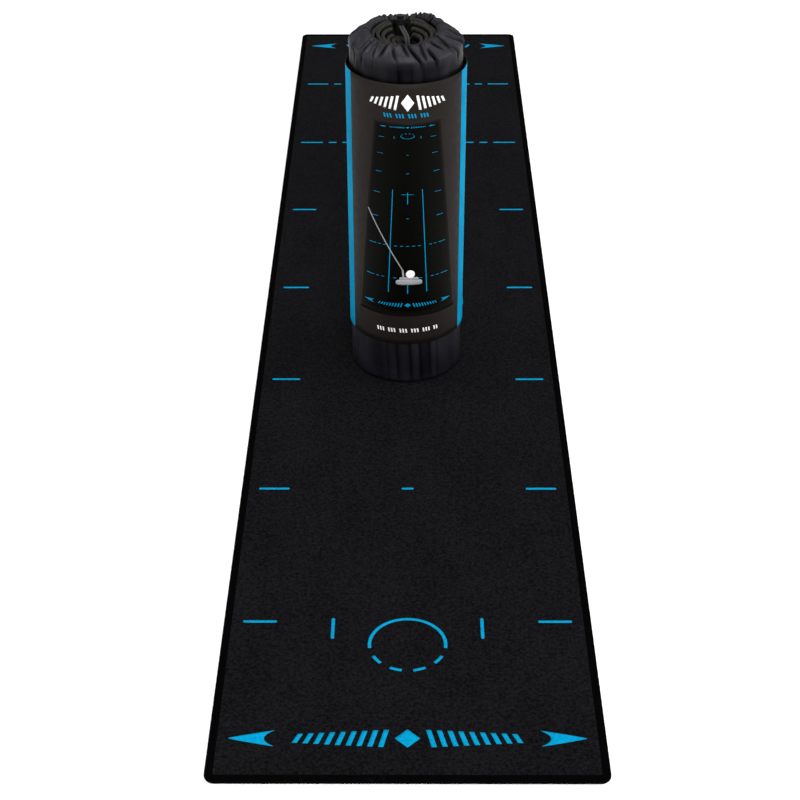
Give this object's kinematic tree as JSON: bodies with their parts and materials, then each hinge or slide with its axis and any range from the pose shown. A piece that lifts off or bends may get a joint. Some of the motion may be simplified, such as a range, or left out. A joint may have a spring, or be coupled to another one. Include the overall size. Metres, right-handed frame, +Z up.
{
  "type": "practice putting mat",
  "caption": "Rectangular short-pile putting mat with alignment markings, and a larger mat of the same design rolled up in a drawstring carry bag with a sliding printed card sleeve.",
  "frame": {"origin": "middle of the laid-out mat, on the floor under its backing", "axes": "+Z up, +Y along the mat from its target-circle end to its ball end, +X to the right of that direction"},
  "size_m": [0.5, 2.4, 0.5878],
  "materials": {
    "rubber": "matte black rubber with a fine grip texture",
    "primary_felt": "grey non-woven felt",
    "pile": "short dense cut pile, charcoal black",
    "pile_blue": "short dense cut pile, dyed bright blue",
    "binding_yarn": "overlocked black polyester yarn",
    "bag_nylon": "thin coated nylon with a soft sheen",
    "cord": "braided black cord",
    "tip_plastic": "moulded black plastic",
    "lock_plastic": "satin moulded black plastic",
    "spring_steel": "bright drawn steel wire",
    "sleeve_card": "printed card, satin, warm dark grey",
    "ink_blue": "bright blue print",
    "ink_white": "white print",
    "ink_black": "black print"
  },
  "bodies": {
    "mat": {"mat_backing": "rubber", "mat_primary_backing": "primary_felt", "mat_pile": "pile", "mat_edge_binding": "binding_yarn"},
    "bagged_roll": {"rolled_backing": "rubber", "rolled_primary_backing": "primary_felt", "rolled_pile": "pile", "rolled_edge_binding": "binding_yarn", "bag_base_panel": "bag_nylon", "bag_side_wall": "bag_nylon", "bag_drawstring_channel": "bag_nylon", "drawstring_cord": "cord", "cord_tip_1": "tip_plastic", "cord_tip_2": "tip_plastic"},
    "sleeve": {"printed_sleeve": "sleeve_card"},
    "cord_lock": {"cord_lock_barrel": "lock_plastic", "cord_lock_spring": "spring_steel"},
    "lock_plunger": {"cord_lock_plunger": "lock_plastic"}
  },
  "joints": [
    {"name": "bag_lift", "type": "slide", "parent": "mat", "child": "bagged_roll", "axis": [0, 0, 1], "range_m": [0, 0.6]},
    {"name": "sleeve_slide", "type": "slide", "parent": "bagged_roll", "child": "sleeve", "axis": [0, 0, 1], "range_m": [-0.076, 0.505]},
    {"name": "cord_lock_slide", "type": "slide", "parent": "bagged_roll", "child": "cord_lock", "axis": [0.2079, -0.9781, 0], "range_m": [0, 0.033]},
    {"name": "cord_lock_press", "type": "slide", "parent": "cord_lock", "child": "lock_plunger", "axis": [0, 0, -1], "range_m": [0, 0.00385], "stiffness_N_per_m": 400, "springref_m": -0.0044, "deforming": ["cord_lock_spring"]}
  ]
}
